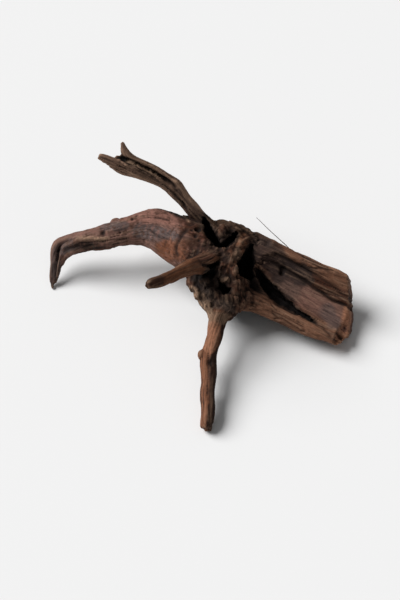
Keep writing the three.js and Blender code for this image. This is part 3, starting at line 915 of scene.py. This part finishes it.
def root_fibre():
    """Thin dark root bark, a little lighter in rings along it."""
    material = bpy.data.materials.new("root_fibre")
    tree = nodes_of(material)
    new, link = tree.nodes.new, tree.links.new
    place = new("ShaderNodeTexCoord")
    rings = new("ShaderNodeTexNoise")
    rings.inputs["Scale"].default_value = 400
    link(place.outputs["Object"], rings.inputs["Vector"])
    ramp = new("ShaderNodeValToRGB")
    ramp.color_ramp.elements[0].color = (*linear(38, 26, 20), 1)
    ramp.color_ramp.elements[1].color = (*linear(88, 70, 58), 1)
    link(rings.outputs["Fac"], ramp.inputs["Fac"])
    bark = new("ShaderNodeBsdfPrincipled")
    bark.inputs["Roughness"].default_value = 0.7
    link(ramp.outputs["Color"], bark.inputs["Base Color"])
    bump = new("ShaderNodeBump")
    bump.inputs["Distance"].default_value = 0.2 * MM
    link(rings.outputs["Fac"], bump.inputs["Height"])
    link(bump.outputs["Normal"], bark.inputs["Normal"])
    end = new("ShaderNodeOutputMaterial")
    link(bark.outputs["BSDF"], end.inputs["Surface"])
    return material


def plain(name, colour, roughness):
    """One even matt colour, for the floor."""
    material = bpy.data.materials.new(name)
    tree = nodes_of(material)
    surface = tree.nodes.new("ShaderNodeBsdfPrincipled")
    surface.inputs["Base Color"].default_value = (*colour, 1)
    surface.inputs["Roughness"].default_value = roughness
    end = tree.nodes.new("ShaderNodeOutputMaterial")
    tree.links.new(surface.outputs["BSDF"], end.inputs["Surface"])
    return material


# ---------------------------------------------------------------- pieces

def show(name, mesh, material):
    """Puts a mesh into the scene under a name, smooth-shaded and in one material."""
    piece = bpy.data.objects.new(name, mesh)
    bpy.context.scene.collection.objects.link(piece)
    mesh.materials.clear()
    mesh.materials.append(material)
    mesh.shade_smooth()
    return piece


def driftwood():
    """The wood itself. Its fibre attribute is each point's place across its strongest limb, with
    the way along it made short, so that the material's fibres run with the grain."""
    mesh = bare_skin()
    skin = Skin(mesh)
    sculpt(skin)
    keep_inside(skin)
    stain_and_shade = colour_of(skin)
    attribute(mesh, "stain_and_shade", "FLOAT_COLOR", np.hstack([stain_and_shade, np.ones((skin.count, 1))]))

    strongest = np.argmax(np.stack(list(skin.weights.values())), axis=0)
    places = np.stack([
        np.stack([limb.side, limb.out, limb.along * FIBRE_STRETCH], axis=1)
        for limb in skin.limbs.values()
    ])
    fibre = places[strongest, np.arange(skin.count)] + strongest[:, None] * FIBRE_SHIFT
    attribute(mesh, "fibre", "FLOAT_VECTOR", fibre)

    piece = show("driftwood_skin", mesh, weathered_wood())
    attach(piece, "root")
    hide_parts("driftwood")


def tube(line, radii, sides):
    """A round section carried along a line: each ring is the line's point plus the radius times
    cos and sin of the angle in the two directions across it, and a fan closes each end."""
    heading = unit(np.gradient(line, axis=0))
    across = unit(np.cross(heading, FACE))
    outward = np.cross(across, heading)
    angle = np.linspace(0, 2 * np.pi, sides, endpoint=False)[None, :, None]
    rings = line[:, None] + radii[:, None, None] * (
        np.cos(angle) * across[:, None] + np.sin(angle) * outward[:, None]
    )
    count = len(line)
    points = np.vstack([rings.reshape(-1, 3), line[0], line[-1]])
    i, j = np.meshgrid(np.arange(count - 1), np.arange(sides), indexing="ij")
    k = (j + 1) % sides
    walls = np.stack([i * sides + j, i * sides + k, (i + 1) * sides + k, (i + 1) * sides + j], -1)
    near = np.arange(sides)
    after = (near + 1) % sides
    foot = np.stack([near, np.full(sides, count * sides), after], 1)
    last = (count - 1) * sides
    tip = np.stack([last + near, last + after, np.full(sides, count * sides + 1)], 1)
    faces = walls.reshape(-1, 4).tolist() + foot.tolist() + tip.tolist()
    mesh = bpy.data.meshes.new("tube")
    mesh.from_pydata(points.tolist(), [], faces)
    mesh.update()
    return mesh


def rootlet():
    """The hair of root: a tube that thins towards its tip and is a little uneven along it."""
    line = smooth_line(HAIR_LINE, per_span=14) * MM
    t = np.linspace(0, 1, len(line))
    uneven = 1 + 0.12 * noise(np.stack([t * 40, t, t], 1), 5)
    radii = ROOTLET_RADIUS * (0.95 - ROOTLET_TAPER * t) * uneven
    piece = show("rootlet_hair", tube(line, radii, ROOTLET_SIDES), root_fibre())
    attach(piece, "root")
    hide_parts("rootlet")


# ---------------------------------------------------------------- floor, lights and camera

def floor():
    """A plain pale floor, far wider than any view."""
    mesh = bpy.data.meshes.new("floor")
    corners = [(x * FLOOR_EDGE, y * FLOOR_EDGE, 0) for x, y in ((-1, -1), (1, -1), (1, 1), (-1, 1))]
    mesh.from_pydata(corners, [], [(0, 1, 2, 3)])
    show("floor", mesh, plain("pale_floor", FLOOR_COLOUR, 0.9))


def studio():
    """One broad soft light from the left, low enough to leave the right sides dark, and a weak
    white room all round, which looks white itself."""
    world = bpy.data.worlds.new("studio")
    world.use_nodes = True
    tree = world.node_tree
    fill = tree.nodes["Background"]
    fill.inputs["Strength"].default_value = ROOM_STRENGTH
    backdrop = tree.nodes.new("ShaderNodeBackground")
    backdrop.inputs["Color"].default_value = WHITE
    fill.inputs["Color"].default_value = WHITE
    seen = tree.nodes.new("ShaderNodeLightPath")
    either = tree.nodes.new("ShaderNodeMixShader")
    tree.links.new(seen.outputs["Is Camera Ray"], either.inputs["Fac"])
    tree.links.new(fill.outputs["Background"], either.inputs[1])
    tree.links.new(backdrop.outputs["Background"], either.inputs[2])
    tree.links.new(either.outputs["Shader"], tree.nodes["World Output"].inputs["Surface"])
    bpy.context.scene.world = world

    data = bpy.data.lights.new("soft_light", "SUN")
    data.energy = LAMP_STRENGTH
    data.angle = LAMP_SOFTNESS
    lamp = bpy.data.objects.new("soft_light", data)
    lamp.rotation_euler = Vector(LAMP_HEADING).to_track_quat("-Z", "Y").to_euler()
    bpy.context.scene.collection.objects.link(lamp)
    bpy.context.scene.view_settings.view_transform = "Standard"


def camera():
    """Looks down at 50 degrees along +Y, at a point in the middle of the wood's height."""
    data = bpy.data.cameras.new("camera")
    data.lens = LENS
    data.sensor_width = SENSOR
    eye = bpy.data.objects.new("camera", data)
    back = Vector(FACE)
    eye.location = Vector(AIM) + back * EYE_DISTANCE
    eye.rotation_euler = (-back).to_track_quat("-Z", "Y").to_euler()
    bpy.context.scene.collection.objects.link(eye)
    bpy.context.scene.camera = eye


driftwood()
rootlet()
floor()
studio()
camera()
